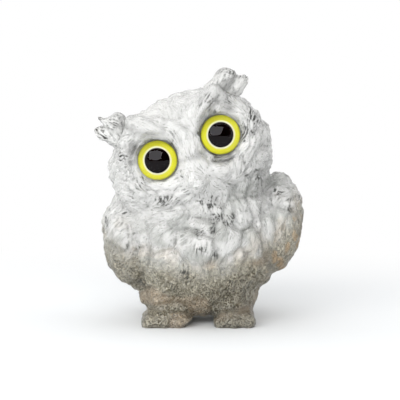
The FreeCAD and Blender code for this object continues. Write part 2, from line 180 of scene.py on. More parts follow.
def valueNoise(points, seed):  # smooth noise, 0 to 1, one cell per unit
    cell = np.floor(points).astype(np.int64)
    part = points - cell
    part = part * part * (3 - 2 * part)
    total = np.zeros(len(points))
    for corner in range(8):
        step = np.array([corner & 1, corner >> 1 & 1, corner >> 2 & 1])
        weight = np.prod(np.where(step, part, 1 - part), axis=1)
        spot = cell + step
        key = spot[:, 0] * 73856093 ^ spot[:, 1] * 19349663 ^ spot[:, 2] * 83492791 ^ seed * 2654435
        total += weight * noiseTable[key & 4095]
    return total


# Shader writing

class Wire:  # a socket that can be used in sums
    def __init__(self, recipe, socket):
        self.recipe, self.socket = recipe, socket

    def sum(self, operation, first, second=0):
        return self.recipe.node("ShaderNodeMath", dict(operation=operation), {0: first, 1: second})

    def __add__(self, other):
        return self.sum("ADD", self, other)

    def __sub__(self, other):
        return self.sum("SUBTRACT", self, other)

    def __rsub__(self, other):
        return self.sum("SUBTRACT", other, self)

    def __mul__(self, other):
        return self.sum("MULTIPLY", self, other)

    def __truediv__(self, other):
        return self.sum("DIVIDE", self, other)

    def __pow__(self, other):
        return self.sum("POWER", self, other)

    def __abs__(self):
        return self.sum("ABSOLUTE", self)

    __radd__ = __add__
    __rmul__ = __mul__


class Recipe:  # the nodes of one material, or of the world
    def __init__(self, owner):
        owner.use_nodes = True
        self.owner, self.tree = owner, owner.node_tree
        self.tree.nodes.clear()

    def node(self, kind, settings=None, inputs=None, output=0):
        item = self.tree.nodes.new(kind)
        for key, value in (settings or {}).items():
            if key == "stops":
                self.setStops(item.color_ramp, value)
            else:
                setattr(item, key, value)
        for key, value in (inputs or {}).items():
            if isinstance(value, Wire):
                self.tree.links.new(value.socket, item.inputs[key])
            else:
                item.inputs[key].default_value = value
        return Wire(self, item.outputs[output]) if item.outputs else item

    def setStops(self, ramp, stops):
        while len(ramp.elements) < len(stops):
            ramp.elements.new(0.5)
        for element, (place, colour) in zip(ramp.elements, stops):
            element.position = place
            element.color = (*colour, 1)

    def place(self):
        return self.node("ShaderNodeTexCoord", output="Object")

    def split(self, vector):  # its x, y and z
        first = self.node("ShaderNodeSeparateXYZ", None, {0: vector})
        others = first.socket.node.outputs
        return first, Wire(self, others[1]), Wire(self, others[2])

    def noise(self, size, detail=2, roughness=0.5, vector=None):  # size of a cell
        return self.node("ShaderNodeTexNoise", None, {
            "Vector": vector or self.place(), "Scale": 1 / (size * mm),
            "Detail": detail, "Roughness": roughness})

    def drawn(self, directions, size, reach, count):  # noise drawn out along stored directions
        along = self.node("ShaderNodeAttribute", dict(attribute_name=directions), None, "Vector")
        place, total = self.place(), 0
        for step in np.linspace(-reach, reach, count):
            spot = self.node("ShaderNodeVectorMath", dict(operation="MULTIPLY_ADD"), {
                0: along, 1: (step * mm, step * mm, step * mm), 2: place})
            total = self.noise(size, 0, vector=spot) + total
        return total / count

    def attribute(self, name):
        return self.node("ShaderNodeAttribute", dict(attribute_name=name), None, "Fac")

    def band(self, value, low, high):  # smoothly from 0 at low to 1 at high
        return self.node("ShaderNodeMapRange", dict(interpolation_type="SMOOTHSTEP"),
                         {0: value, 1: low, 2: high})

    def blend(self, amount, first, second):  # two colours
        return self.node("ShaderNodeMix", dict(data_type="RGBA"), {
            0: amount, 6: colour(first), 7: colour(second)}, 2)

    def coats(self, base, *layers):  # each layer's mask, amount and colour
        for mask, (amount, tint) in layers:
            base = self.blend(mask * amount, base, tint)
        return base

    def ramp(self, value, *stops):
        return self.node("ShaderNodeValToRGB", dict(stops=stops), {0: value})

    def bump(self, height, strength, distance):
        return self.node("ShaderNodeBump", None, {
            "Height": height, "Strength": strength, "Distance": distance * mm})

    def finish(self, **inputs):
        names = {key.replace("_", " "): value for key, value in inputs.items()}
        surface = self.node("ShaderNodeBsdfPrincipled", None, names)
        self.node("ShaderNodeOutputMaterial", None, {"Surface": surface})
        return self.owner

    def stone(self, tint, look):
        relief = self.bump(self.noise(look["fine"], 2), *look["relief"])
        return self.finish(Base_Color=tint, Roughness=look["roughness"], Normal=relief)


def colour(value):
    return value if isinstance(value, Wire) else (*value, 1)


def newRecipe(name):
    return Recipe(bpy.data.materials.new(name))


def dress(piece, material):
    piece.data.materials.clear()
    piece.data.materials.append(material)


# Where the eyes are, from the discs behind them

def readEye(side):
    backing = cornersOf(nodes[side + "_eye_backing"])
    middle = (backing.min(0) + backing.max(0)) / 2
    spread = np.linalg.svd(backing - backing.mean(0), full_matrices=False)[2]
    axis = spread[2] * -np.sign(spread[2][1])  # the disc's thin way, out of the face
    paint = (cornersOf(nodes[side + "_eye_iris"]) - middle) @ axis
    depth = (backing - middle) @ axis
    across = lengths(np.cross(backing - middle, axis))
    return SimpleNamespace(middle=middle, axis=axis, paint=paint.max(), seat=depth.min(),
                           radius=across.max())


def fromEye(corners, eye):  # height on the eye's axis, way out and distance
    off = corners - eye.middle
    height = off @ eye.axis
    flat = off - np.outer(height, eye.axis)
    return height, flat, lengths(flat)


eyes = {side: readEye(side) for side in sides}
faceMiddle = (eyes["left"].middle + eyes["right"].middle) / 2
faceFront = unit(eyes["left"].axis + eyes["right"].axis)
sideways = eyes["left"].middle - eyes["right"].middle
faceAcross = unit(sideways - faceFront * (sideways @ faceFront))
faceUp = np.cross(faceFront, faceAcross)
faceUp = faceUp * np.sign(faceUp[2])
print("eyes at", [eye.middle.round(1) for eye in eyes.values()])


# The resin, one closed glassy skin worked like clay; across and up run along the face

casting = dict(
    firstVoxel=0.5, softening=12, voxel=0.352, finishing=2,
    footHeight=4.4, footSoftness=0.15,  # the feet are smoothed much less
    tuftRoot=(12.3, 10.6), rootReach=3.6, rootSoftening=30,  # and the roots of the tufts more
)
socket = dict(
    radius=4.66, glue=0.35, wall=0.2, tallest=6,
    rimLevel=1.5, rimSlope=0.2,  # above the eye's seat, and how it climbs
    mostLowered=1.5, lowered=(7.4, 6), keptInside=(4.3, 4.6),
    tight=0.06, far=0.75, near=0.15, tightFrom=(4.2, 4.4), seated=(-0.3, 0), top=3,
)


def makeForm():  # both castings as one softened body
    form, lower = copyOfNode("upper_casting"), copyOfNode("lower_casting")
    selectOnly(form, lower)
    bpy.ops.object.join()
    form.name = form.data.name = "skin"
    applyModifier(form, "REMESH", mode="VOXEL", voxel_size=casting["firstVoxel"] * mm)
    foot = cornersOf(form)[:, 2] < casting["footHeight"]
    addWeights(form, "soft", np.where(foot, casting["footSoftness"], 1))
    applyModifier(form, "SMOOTH", factor=0.5, iterations=casting["softening"], vertex_group="soft")
    off = cornersOf(form) - faceMiddle
    bedded = np.zeros(len(off))
    for sign in sides.values():
        spot = np.stack([off @ faceAcross * sign, off @ faceUp], axis=1) - casting["tuftRoot"]
        bedded = np.maximum(bedded, np.exp(-(spot ** 2).sum(1) / casting["rootReach"] ** 2))
    addWeights(form, "root", bedded)
    applyModifier(form, "SMOOTH", factor=0.5, iterations=casting["rootSoftening"],
                  vertex_group="root")
    form.vertex_groups.clear()
    corners = cornersOf(form)
    for eye in eyes.values():
        openSocket(corners, eye)
    moveCorners(form, corners)
    applyModifier(form, "REMESH", mode="VOXEL", voxel_size=casting["voxel"] * mm)
    applyModifier(form, "SMOOTH", factor=0.5, iterations=casting["finishing"])
    return smoothed(form)


def openSocket(corners, eye):  # a straight wall round the eye, and a flat floor
    floor = eye.seat - socket["glue"]
    height, flat, reach = fromEye(corners, eye)
    inside = (reach < socket["radius"]) & (height > floor) & (height < socket["tallest"])
    wall = inside & (reach > eye.radius + socket["wall"])
    ground = inside & ~wall
    corners[wall] += flat[wall] * (socket["radius"] / reach[wall] - 1)[:, None]
    corners[ground] -= np.outer(height[ground] - floor, eye.axis)


feathers = dict(
    chin=(-16, -10),  # from the body to the head
    faceDepth=(-14, -8),  # from its back to the face
    fall=(-0.45, 0, -1),  # down the body
    spread=0.2, spreadWidth=12,  # and how it turns outwards
    billDrop=7, billFront=2,  # the face's feathers start here, below the eyes
    headPull=1.2, eyePull=1.5, eyeReach=8.5, outerSide=(-0.3, 0.4), outerDrop=0.5, outerPull=1.5,
    browPull=1.6, browReach=2.2,
    wander=1.7, wanderSize=4,
    barb=(0.5, 0.9, 9, 1), lock=(1.4, 2, 7, 2),  # width, half length, samples and seed
    barbHeight=0.13, lockHeight=0.24, lumpSize=4.2, lumpHeight=0.55, mostStroke=2.2,
    calm=0.45, forehead=((10, 5), (-7, -2)),  # strokes lie flatter here, across and up
)


def polyline(across, up, points):  # distance to a line of points, and its direction
    nearest = np.full(len(across), 99.0)
    run = np.zeros((len(across), 2))
    spot = np.stack([across, up], axis=1)
    for start, end in zip(np.array(points[:-1]), np.array(points[1:])):
        along = end - start
        share = np.clip((spot - start) @ along / (along @ along), 0, 1)
        away = lengths(spot - start - share[:, None] * along)
        closer = away < nearest
        nearest[closer] = away[closer]
        run[closer] = unit(along)
    return nearest, run


def featherFlow(clay):  # how the feathers lie
    corners, head = clay.corners, clay.head
    body = np.tile(feathers["fall"], (len(corners), 1))
    outwards = rise(0, feathers["spreadWidth"], abs(corners[:, 0]))
    body[:, 0] += feathers["spread"] * np.sign(corners[:, 0]) * outwards
    bill = faceMiddle - faceUp * feathers["billDrop"] + faceFront * feathers["billFront"]
    flow = body * (1 - head[:, None]) + unit(corners - bill) * head[:, None] * feathers["headPull"]
    for side, eye in eyes.items():
        off = corners - eye.middle
        near = np.exp(-(lengths(off) / feathers["eyeReach"]) ** 4)[:, None]
        circling = unit(np.cross(eye.axis, off))
        outer = faceAcross * sides[side] - faceUp * feathers["outerDrop"]
        outer = rise(*feathers["outerSide"], unit(off) @ outer)[:, None]
        ring = unit(off) * (1 - outer) + circling * outer * feathers["outerPull"]
        flow = flow * (1 - near) + ring * near * feathers["eyePull"]
    for sign in sides.values():
        away, run = polyline(clay.across * sign, clay.up, brow["line"])
        onBrow = (hump(away, feathers["browReach"]) * clay.face)[:, None]
        strand = run[:, :1] * sign * faceAcross + run[:, 1:] * faceUp
        flow = flow * (1 - onBrow) + strand * onBrow * feathers["browPull"]
    places = corners / feathers["wanderSize"]
    wander = np.stack([valueNoise(places, seed) for seed in (11, 12, 13)], axis=1) - 0.5
    flow = unit(flow) + wander * feathers["wander"]
    flow -= clay.normals * (flow * clay.normals).sum(1, keepdims=True)
    return unit(flow)


def strokes(corners, flow, width, reach, steps, seed):  # drawn out along the feathers
    total = np.zeros(len(corners))
    for step in np.linspace(-reach, reach, steps):
        total += valueNoise((corners + flow * step) / width, seed)
    most = feathers["mostStroke"]
    return np.clip((total - total.mean()) / total.std(), -most, most)


def relief(clay, flow):  # barbs, locks and lumps
    height = feathers["barbHeight"] * strokes(clay.corners, flow, *feathers["barb"])
    height = height + feathers["lockHeight"] * strokes(clay.corners, flow, *feathers["lock"])
    lump = valueNoise(clay.corners / feathers["lumpSize"], 3) - 0.5
    return height * (1 - feathers["calm"] * clay.forehead) + feathers["lumpHeight"] * lump


brow = dict(
    line=[(2, -1.2), (2.6, 0.4), (3.9, 4.3), (6.6, 6.9), (10.5, 9.6), (14.5, 12.2)],
    width=1.5, height=2.1, innerShare=0.4, growing=(2, 6),
    # painted shade under the ridge: from which point of the line, how far in and down, its width and
    # darkness
    shadowFrom=3, shadowOff=(0.7, 2), shadowWidth=0.8, shadowAmount=0.4,
)
pit = dict(  # a hollow on the outer side of each eye, with painted shade in it
    place=(12.3, 4.3), stretch=1.3, depth=1.2, width=1.8,
    shadeWidth=1.3, shade={"left": 0.35, "right": 0.9},
)


def shapeBrow(clay, side, sign):  # with painted shade under it and the pit beside it
    across, up = clay.across * sign, clay.up
    ridge = hump(polyline(across, up, brow["line"])[0], brow["width"])
    ridge = ridge * (brow["innerShare"] + (1 - brow["innerShare"]) * rise(*brow["growing"], across))
    clay.rise += brow["height"] * ridge * clay.face
    # a band of painted shade under the brow ridge, where its shadow falls
    inwards, below = brow["shadowOff"]
    under = polyline(across + inwards, up + below, brow["line"][brow["shadowFrom"]:])[0]
    clay.shade += brow["shadowAmount"] * hump(under, brow["shadowWidth"]) * clay.face
    away = np.hypot(across - pit["place"][0], (up - pit["place"][1]) * pit["stretch"])
    clay.rise -= pit["depth"] * hump(away, pit["width"]) * clay.face
    # painted shade in the pit
    clay.shade += pit["shade"][side] * hump(away, pit["shadeWidth"]) * clay.face


tuft = dict(
    line=[(12.5, 9), (19, 14.5)], width=4.5, swell=0.45, start=(-1.5, 1.5), tip=(4.5, 7.5),
    parting=(-0.8, 0.8), length=7, top=(0.8, 3.2),
    # how far both lobes grow, lift and thin
    lobes={"left": ((-2.2, 0, 1.9), (1.3, -0.5, 0)),
           "right": ((-1.4, -0.5, 2.8), (0.5, 1.9, 0))},
)


def shapeTuft(clay, side, sign):  # an ear tuft, parted into two lobes
    corners, across, up = clay.corners, clay.across * sign, clay.up
    root, tip = np.array(tuft["line"])
    run = unit(tip - root)
    along = (np.stack([across, up], axis=1) - root) @ run
    width = rise(tuft["width"] + 1, tuft["width"], polyline(across, up, tuft["line"])[0])
    inTuft = rise(*tuft["start"], along) * width
    clay.rise += tuft["swell"] * inTuft
    clay.tufts += inTuft
    clay.tips += inTuft * rise(*tuft["tip"], along)
    strand = sign * run[0] * faceAcross + run[1] * faceUp
    beside = run[0] * faceUp - sign * run[1] * faceAcross
    above = (corners - faceMiddle) @ beside - root @ [-run[1], run[0]]
    inner = rise(*tuft["parting"], above)
    for lobe, (grow, lift, thin) in zip((inner, 1 - inner), tuft["lobes"][side]):
        growing = inTuft * rise(0, tuft["length"], along) * lobe
        corners += np.outer(growing, strand * grow + beside * lift)
        corners -= np.outer(inTuft * lobe * thin * rise(*tuft["top"], above), beside)


wing = dict(rim=1.7, groove=0.5, grooveWidth=0.09, front=(-1, -6), inner=(0.1, -0.3), shade=0.3)


def markWing(clay, side, sign):  # the groove between a wing and the breast, with painted shade in it
    corners = clay.corners
    boxes = np.array([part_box(side + "_wing_" + kind) for kind in ("pebbles", "gravel")]) / mm
    low, high = boxes[:, 0].min(0), boxes[:, 1].max(0)
    off = (corners - (low + high) / 2) / ((high - low) / 2 + wing["rim"])
    groove = hump(np.hypot(off[:, 0], off[:, 2]) - 1, wing["grooveWidth"])
    groove = groove * rise(*wing["front"], corners[:, 1]) * (1 - clay.head)
    groove *= rise(*wing["inner"], off[:, 0] * sign)
    clay.rise -= wing["groove"] * groove
    # painted shade along the groove
    clay.shade += wing["shade"] * groove


disc = dict(  # the rings of feathers round an eye
    width=1.25, height=0.22, reach=(5.6, 9.6), fadeIn=0.6, fadeOut=1.5,
    depth=(-7, -4), bare=(5, 6), outwards=(0, 0.5),
)
hollows = dict(
    arc=(0.84, 0.95),
    # side, angle in radians, distance, depth, width and darkness of the painted shade
    places=[("left", 4.45, 5.8, 0.9, 0.8, 1), ("left", 2.3, 5.5, 0.2, 0.5, 0.6),
            ("right", 0.45, 5.2, 0.2, 0.4, 0.8), ("right", 2.55, 6.3, 0.5, 0.9, 0.7)],
)


def shapeDisc(clay, side, eye):  # rings round an eye, hollows with painted shade, and a bare rim
    deep, flat, reach = fromEye(clay.corners, eye)
    near = rise(*disc["depth"], deep)
    inside, outside = disc["reach"]
    ring = rise(inside, inside + disc["fadeIn"], reach)
    ring = ring * (1 - rise(outside - disc["fadeOut"], outside, reach))
    beside = (clay.corners - eye.middle) @ faceAcross * sides[side]
    outwards = rise(*disc["outwards"], beside / np.maximum(reach, 0.1))
    wave = np.sin(math.tau * reach / disc["width"])
    clay.rise += disc["height"] * wave * ring * near * outwards
    clay.bare *= 1 - near * (1 - rise(*disc["bare"], reach))
    for hollowSide, angle, middle, depth, width, dark in hollows["places"]:
        if hollowSide == side:
            aim = math.cos(angle) * faceAcross + math.sin(angle) * faceUp
            arc = hump(reach - middle, width) * rise(*hollows["arc"], unit(flat) @ aim) * near
            clay.rise -= depth * arc
            # painted shade in the hollow
            clay.shade += dark * arc


feet = dict(
    calm=0.35, sole=0.3, soleFade=0.8,  # lower strokes, and none at the floor
    # how much the toes give way to a flat front, its place, and the limits of each change
    flatten=0.6, front=-11.5, slab=((3.9, 3.3), (-0.2, -0.6), (-7.5, -9)),
    flare=1, flared=((2.6, 0.3), (-9.5, -13)),
    slant=1.8, slanted=((0, 2.8), (6, 3.5), (-6.5, -3.2), (4, -3.2)),
    roofDrop=1.2, roof=((5.5, 3.2), (2.2, 3.2), (8, 4.5), (-2, -5)),
)


def shapeFeet(corners, normals):  # slabs that flare at the floor, under a low arch
    x, y, z = corners.T.copy()
    slab = within(1, feet["slab"], (z, normals[:, 1], y))
    corners[:, 1] += feet["flatten"] * slab * (feet["front"] - y)
    corners[:, 0] -= within(feet["flare"], feet["flared"], (z, x))
    corners[:, 0] += within(feet["slant"], feet["slanted"], (z, z, x, x))
    corners[:, 2] -= feet["roofDrop"] * within(1, feet["roof"], (abs(x), z, z, y))


def lowerRim(corners, eye):  # the resin meets the eye with no moat
    deep, flat, reach = fromEye(corners, eye)
    rim = eye.seat + socket["rimLevel"]
    rim = rim + socket["rimSlope"] * np.maximum(reach - socket["radius"], 0)
    over = np.clip(deep - rim, 0, socket["mostLowered"])
    over = over * rise(*socket["lowered"], reach) * rise(*socket["keptInside"], reach)
    corners -= np.outer(over, eye.axis)
    tight = eye.radius + socket["tight"]
    share = rise(tight + socket["far"], tight + socket["near"], reach)
    share = share * rise(*socket["tightFrom"], reach)
    share *= rise(*socket["seated"], deep - eye.seat) * (deep < socket["top"])
    corners -= flat * (share * (reach - tight) / np.maximum(reach, 1))[:, None]


swellings = [  # middle, reach and height
    ((-1, -6, 56.5), (9, 9, 4), 0.5), ((19, -4, 41.5), (4, 9, 5), -0.3),
    ((-12, -4, 49), (8, 9, 5), 0.4), ((15.5, -3, 48.5), (5, 9, 4.5), -0.6),
    ((-19.5, -2, 12), (5, 9, 4.5), 1), ((19, -2, 13), (5, 9, 4), 0.9),
    ((-24, -4, 28.5), (4, 9, 5), -1.8), ((24.5, -2, 21), (4, 9, 4), 0.5),
    ((20.5, -2, 35), (4, 9, 3.5), -0.6), ((-14.5, -3, 6.2), (3.5, 8, 2.6), 0.9),
]
darkening = dict(  # broad, faint darkening of the feet (more on the owl's left), the body and the outer right wing, added to the painted shade
    foot=0.16, leftFoot=0.24, footSide=(-2, 2), body=0.09, wing=0.15, wingSide=(-13, -17),
)


def sculpt(form):
    clay = SimpleNamespace(corners=cornersOf(form), normals=normalsOf(form))
    off = clay.corners - faceMiddle
    clay.across, clay.up = off @ faceAcross, off @ faceUp
    clay.head = rise(*feathers["chin"], clay.up)
    clay.face = rise(*feathers["faceDepth"], off @ faceFront) * clay.head
    clay.forehead = within(1, feathers["forehead"], (abs(clay.across), clay.up)) * clay.face
    flow = featherFlow(clay)
    clay.rise = relief(clay, flow)
    clay.shade, clay.tufts, clay.tips = np.zeros((3, len(off)))
    clay.bare = np.ones(len(off))
    for side, sign in sides.items():
        shapeBrow(clay, side, sign)
        shapeTuft(clay, side, sign)
        markWing(clay, side, sign)
    for side, eye in eyes.items():
        shapeDisc(clay, side, eye)
    corners, normals, body = clay.corners, clay.normals, 1 - clay.head
    for middle, spread, swell in swellings:
        clay.rise += swell * np.exp(-(((corners - middle) / spread) ** 2).sum(1))
    foot = rise(casting["footHeight"] + 1, casting["footHeight"], corners[:, 2])
    darkened = foot * (darkening["foot"] + darkening["leftFoot"] * rise(*darkening["footSide"], corners[:, 0]))
    wings = darkening["wing"] * rise(*darkening["wingSide"], corners[:, 0]) * body
    darkened += darkening["body"] * body * (1 - foot) + wings
    height = clay.rise * (1 - feet["calm"] * foot) * clay.bare
    height *= rise(0, feet["soleFade"], corners[:, 2])
    corners = corners + normals * height[:, None]
    corners[:, 2] = np.where(corners[:, 2] < feet["sole"], 0, corners[:, 2])
    shapeFeet(corners, normals)
    for eye in eyes.values():
        lowerRim(corners, eye)
    moveCorners(form, corners)
    clay.corners = corners
    addAttribute(form, "flow", flow, "FLOAT_VECTOR", "vector")
    # the painted shade, with the broad darkening added
    addAttribute(form, "shade", np.clip(clay.shade + darkened, 0, 1))
    addAttribute(form, "body", body)
    return clay


pours = dict(  # noise: seed, size and band
    wavy=3, waveSize=2.6, blur=3, outside=(14, 18),
    rust=(21, 1.6, 0.6, 0.75), tan=(23, (5.5, 5.5, 3.2), 0.52, 0.7),
)


def spots(clay, seed, size, low, high):  # noise within a band
    return rise(low, high, valueNoise(clay.corners / size, seed))


def nearestDistance(tree, corners):
    return np.array([tree.find_nearest(Vector(spot * mm))[3] for spot in corners]) / mm


def markPours(form, clay):  # smoky, rusty, pale and tan
    corners = clay.corners
    toUpper = nearestDistance(treeOf(nodes["upper_casting"]), corners)
    clay.pour = toUpper - nearestDistance(lowerTree, corners)
    clay.pour += (valueNoise(corners / pours["waveSize"], 7) - 0.5) * pours["wavy"]
    clay.smoky = rise(-pours["blur"], pours["blur"], clay.pour)
    outside = rise(*pours["outside"], abs(corners[:, 0]))
    leftTip = rise(*pours["outside"], corners[:, 0]) * clay.smoky
    addAttribute(form, "low", clay.smoky)
    addAttribute(form, "rust", leftTip * spots(clay, *pours["rust"]))
    addAttribute(form, "pale", outside)
    addAttribute(form, "tan", spots(clay, *pours["tan"]) * (1 - outside))


form = makeForm()
print("resin form", len(form.data.vertices), "vertices")
clay = sculpt(form)
lowerTree = treeOf(nodes["lower_casting"])
markPours(form, clay)
skinTree = treeOf(form)
print("feathers sculpted")


# Stones, packed close under the skin

pebbles = dict(
    # radius from and to, tries and lowest height, the largest first
    sizes=[(3.2, 4.6, 6000, 8), (2.1, 3.2, 9000, 8), (0.85, 2.1, 60000, 44)],
    share=0.62, extra=0.3,  # how deep a middle is
    closeness=0.7, overPour=0.7,
    sink=4.5, sinkSize=7, sinkFrom=0.25,  # into the smoky pour
    gap=(-0.15, 0.12), leastRoom=0.3, neighbours=12, swell=1.7, roundness=22,
    cover=(0.4, 0.85), leastCover=0.25, least=0.42, pull=1.8,
    uneven=0.07, unevenSize=1.7, fineFrom=2.6,
)
whiteNodes = [place + "_pebbles" for place in (
    "head", "breast", "back", "core", "left_wing", "right_wing")]
outlooks = [Vector((0.03, 0.02, 1)), Vector((1, 0.05, 0.1)), Vector((0.04, -1, 0.2))]


def chipsOf(name):  # the middle and radius of each chip
    selectOnly(copyOfNode(name))
    bpy.ops.mesh.separate(type="LOOSE")
    found = []
    for chip in list(bpy.context.selected_objects):
        corners = cornersOf(chip)
        middle = (corners.min(0) + corners.max(0)) / 2
        found.append((middle, lengths(corners - middle).max()))
    bpy.ops.object.delete()
    return found


def depthOf(spot):  # below the skin, negative outside
    start = Vector(spot * mm)
    away = skinTree.find_nearest(start)[3] / mm
    for direction in outlooks:
        normal = skinTree.ray_cast(start, direction)[1]
        if normal is None or normal.dot(direction) < 0:
            return -away
    return away


def abovePour(spot):  # height above the smoky pour
    start = Vector((spot[0] * mm, spot[1] * mm, 0.1))
    hit = lowerTree.ray_cast(start, Vector((0, 0, -1)))[0]
    return spot[2] - hit.z / mm if hit is not None else 99


def sunkBelow(spot, depth):  # moved down until it is this deep
    normal = skinTree.find_nearest(Vector(spot * mm))[1]
    return spot - np.array(normal) * max(depth - depthOf(spot), 0)


def placePebbles():  # the chips, and then wherever there is room
    middles, radii, groups = [], [], []
    for index, name in enumerate(whiteNodes):
        for middle, radius in chipsOf(name):
            middles.append(sunkBelow(middle, pebbles["share"] * radius + pebbles["extra"]))
            radii.append(radius)
            groups.append(index)
    chipCount = len(middles)
    boxLow, boxHigh = (np.array(corner) / mm for corner in cadBox)
    for smallest, largest, tries, lowest in pebbles["sizes"]:
        for attempt in range(tries):
            radius = random.uniform(smallest, largest)
            spot = random.uniform(boxLow, boxHigh)
            if spot[2] < lowest:
                continue
            away = lengths(np.array(middles) - spot)
            if (away < pebbles["closeness"] * (np.array(radii) + radius)).any():
                continue
            sunk = valueNoise(spot[None] / pebbles["sinkSize"], 33)[0] - pebbles["sinkFrom"]
            if depthOf(spot) < pebbles["share"] * radius + pebbles["extra"] or (
                    abovePour(spot) < pebbles["overPour"] * radius - pebbles["sink"] * sunk):
                continue
            middles.append(spot)
            radii.append(radius)
            groups.append(groups[int(np.argmin(away[:chipCount]))])
    return np.array(middles), np.array(radii), np.array(groups)


def creaseOf(corners, batch=4000):  # how far from the nearest pebbles' border
    found = np.empty(len(corners))
    for start in range(0, len(corners), batch):
        part = corners[start:start + batch]
        power = ((part[:, None] - middles[None]) ** 2).sum(2) - radii ** 2
        order = np.argpartition(power, 1, axis=1)[:, :2]
        pair = np.sort(np.take_along_axis(power, order, 1), axis=1)
        apart = lengths(middles[order[:, 0]] - middles[order[:, 1]])
        found[start:start + batch] = (pair[:, 1] - pair[:, 0]) / (2 * apart)
    return found


pressed = dict(  # how the skin swells over the pebbles
    height=0.85, inside=1.5, level=0.4, unshaded=0.2, headCalm=0.75, behind=0.3, facing=(0.1, 0.6),
)


def swellSkin(clay):
    normals = normalsOf(form)
    clay.border = creaseOf(clay.corners)
    over = (1 - clay.smoky) * rise(pressed["unshaded"], 0, clay.shade)
    over = over * (1 - pressed["headCalm"] * clay.head)
    over *= pressed["behind"] + (1 - pressed["behind"]) * rise(*pressed["facing"], -normals[:, 1])
    bulge = rise(0, pressed["inside"], clay.border) - pressed["level"]
    clay.over = over
    clay.corners = clay.corners + normals * (pressed["height"] * bulge * over)[:, None]
    moveCorners(form, clay.corners)


middles, radii, groups = placePebbles()
print("pebbles", len(middles))
swellSkin(clay)
skinTree = treeOf(form)


def pebble(index, ball):  # a tumbled stone that fills its room
    middle, radius = middles[index], radii[index]
    directions = unit(ball)
    others = np.delete(middles, index, axis=0) - middle
    sizes = np.delete(radii, index)
    near = lengths(others) < pebbles["neighbours"]
    others, sizes = others[near], sizes[near]
    facing = np.maximum(directions @ others.T, 1e-3)
    room = ((others ** 2).sum(1) + radius ** 2 - sizes ** 2) / 2
    limits = np.maximum(room / facing - random.uniform(*pebbles["gap"]), pebbles["leastRoom"])
    cover = random.uniform(*pebbles["cover"])
    toSkin = []
    for direction in directions:
        hit = skinTree.ray_cast(Vector(middle * mm), Vector(direction))[3]
        toSkin.append((hit or 0.05) / mm - cover)
    most = np.full(len(directions), radius * pebbles["swell"])
    limits = np.column_stack([limits, np.maximum(toSkin, pebbles["leastCover"]), most])
    power = -pebbles["roundness"]
    length = (limits ** power).sum(1) ** (1 / power)
    dents = valueNoise(directions * pebbles["unevenSize"] + index * 3.1, 31) - 0.5
    length *= 1 + pebbles["uneven"] * dents
    corners = middle + directions * length[:, None]
    for corner, direction in zip(corners, directions):  # pulled in where a groove comes close
        close = skinTree.find_nearest(Vector(corner * mm), pebbles["least"] * mm)[3]
        if close is not None:
            corner -= direction * pebbles["pull"] * (pebbles["least"] - close / mm)
    return corners


def template(subdivisions):
    bpy.ops.object.select_all(action="DESELECT")
    bpy.ops.mesh.primitive_ico_sphere_add(subdivisions=subdivisions, radius=mm)
    ball = bpy.context.object
    corners = cornersOf(ball)
    faces = np.array([list(face.vertices) for face in ball.data.polygons])
    bpy.ops.object.delete()
    return corners, faces


def stacked(shapes, faceLists):  # the corners and faces of many stones
    starts = np.cumsum([0] + [len(shape) for shape in shapes[:-1]])
    faces = [faces + start for faces, start in zip(faceLists, starts)]
    return np.concatenate(shapes), np.concatenate(faces)


def gather(name, shapes, faceLists, material):  # many stones in one piece
    piece = meshPiece(name.title().replace("_", ""), *stacked(shapes, faceLists))
    tones = random.random(len(shapes))
    addAttribute(piece, "tone", np.repeat(tones, [len(shape) for shape in shapes]))
    dress(piece, material)
    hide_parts(name)
    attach(piece, "root")
    return piece


quartzLook = dict(
    tones=((0.93, 0.94, 0.94), (0.99, 0.99, 0.98)), roughness=0.38, fine=0.7, relief=(0.3, 0.1),
    cloudSize=2.4, cloud=(0.6, (0.99, 0.99, 0.99)), veinSize=3.5, vein=(0.25, (0.75, 0.75, 0.73)),
)


def quartzMaterial():
    recipe, look = newRecipe("milkyQuartz"), quartzLook
    cloud = recipe.band(recipe.noise(look["cloudSize"], 3, 0.6), 0.35, 0.65)
    vein = recipe.band(abs(recipe.noise(look["veinSize"], 3, 0.6) - 0.5), 0.03, 0)
    white = recipe.blend(recipe.attribute("tone"), *look["tones"])
    white = recipe.coats(white, (cloud, look["cloud"]), (vein, look["vein"]))
    return recipe.stone(white, look)


pebbleShells, pebbleFaces = [], []
fineBall, coarseBall = template(4), template(3)
quartz = quartzMaterial()
for index, name in enumerate(whiteNodes):
    members = np.flatnonzero(groups == index)
    balls = [fineBall if radii[member] > pebbles["fineFrom"] else coarseBall for member in members]
    shapes = [pebble(member, ball[0]) for member, ball in zip(members, balls)]
    faceLists = [ball[1] for ball in balls]
    pebbleShells += shapes
    pebbleFaces += faceLists
    piece = smoothed(gather(name, shapes, faceLists, quartz))
    print(name, len(members), "pebbles", len(piece.data.polygons), "faces")
print("pebbles shaped")


# The resin's colours, over the pebbles

